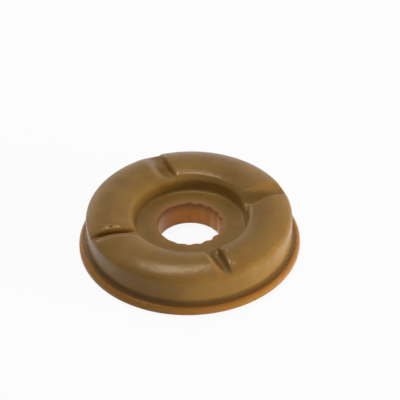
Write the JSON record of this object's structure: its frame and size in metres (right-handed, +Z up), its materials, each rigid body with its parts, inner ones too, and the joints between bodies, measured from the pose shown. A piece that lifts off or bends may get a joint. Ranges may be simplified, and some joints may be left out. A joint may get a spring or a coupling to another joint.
{
  "type": "strut mount",
  "caption": "Flanged strut mount bush, a moulded polyurethane ring with a domed grooved crown, a stepped recess and a fluted centre bore.",
  "frame": {"origin": "centre of the bore in the plane of the flat base", "axes": "+Z up the bore axis, from the flanged base towards the grooved crown; +X and +Y lie in the base"},
  "size_m": [0.1, 0.1, 0.0207],
  "materials": {
    "polyurethane": "satin, faintly translucent amber-brown cast polyurethane with a fine mould grain"
  },
  "bodies": {
    "root": {"mount_bush": "polyurethane"}
  },
  "joints": []
}
